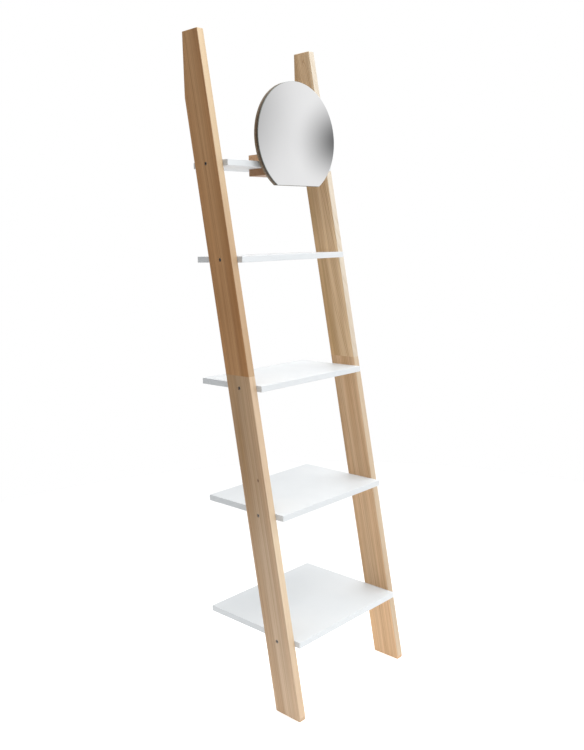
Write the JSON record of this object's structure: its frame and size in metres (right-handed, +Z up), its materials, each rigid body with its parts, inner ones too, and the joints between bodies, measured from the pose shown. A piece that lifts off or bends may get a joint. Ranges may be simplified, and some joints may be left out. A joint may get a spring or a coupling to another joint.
{
  "type": "ladder shelf",
  "caption": "Leaning ladder shelf with light wood rails, white boards that deepen downwards and a round mirror that slides along the top board.",
  "frame": {"origin": "on the floor, midway between the rails and midway between the toes and the wall", "axes": "+X from the left rail to the right rail, seen from the front; +Y towards the wall; +Z up"},
  "size_m": [0.45, 0.3598, 1.8],
  "materials": {
    "rail_wood": "solid ash, clear matt oil",
    "white_board": "fibreboard, satin white lacquer",
    "zinc_steel": "zinc plated",
    "dowel_wood": "raw beech",
    "brass_insert": "plain turned",
    "mirror_glass": "silvered glass",
    "adhesive_foam": "foam tape",
    "backing_wood": "stained plywood",
    "holder_wood": "solid wood, clear oil"
  },
  "bodies": {
    "frame": {"left_rail_lower": "rail_wood", "left_rail_upper": "rail_wood", "right_rail_lower": "rail_wood", "right_rail_upper": "rail_wood", "top_shelf": "white_board", "second_shelf": "white_board", "third_shelf": "white_board", "fourth_shelf": "white_board", "bottom_shelf": "white_board", "top_shelf_screws": "zinc_steel", "top_shelf_dowels": "dowel_wood", "second_shelf_screws": "zinc_steel", "second_shelf_dowels": "dowel_wood", "third_shelf_screws": "zinc_steel", "third_shelf_dowels": "dowel_wood", "fourth_shelf_screws": "zinc_steel", "fourth_shelf_dowels": "dowel_wood", "bottom_shelf_screws": "zinc_steel", "bottom_shelf_dowels": "dowel_wood", "left_joint_stud": "zinc_steel", "left_joint_inserts": "brass_insert", "right_joint_stud": "zinc_steel", "right_joint_inserts": "brass_insert"},
    "mirror": {"mirror_glass": "mirror_glass", "mirror_adhesive_strips": "adhesive_foam", "mirror_backing": "backing_wood", "mirror_holder": "holder_wood", "mirror_holder_screws": "zinc_steel"}
  },
  "joints": [
    {"name": "mirror_slide", "type": "slide", "parent": "frame", "child": "mirror", "axis": [1, 0, 0], "range_m": [-0.142, 0.068]}
  ]
}
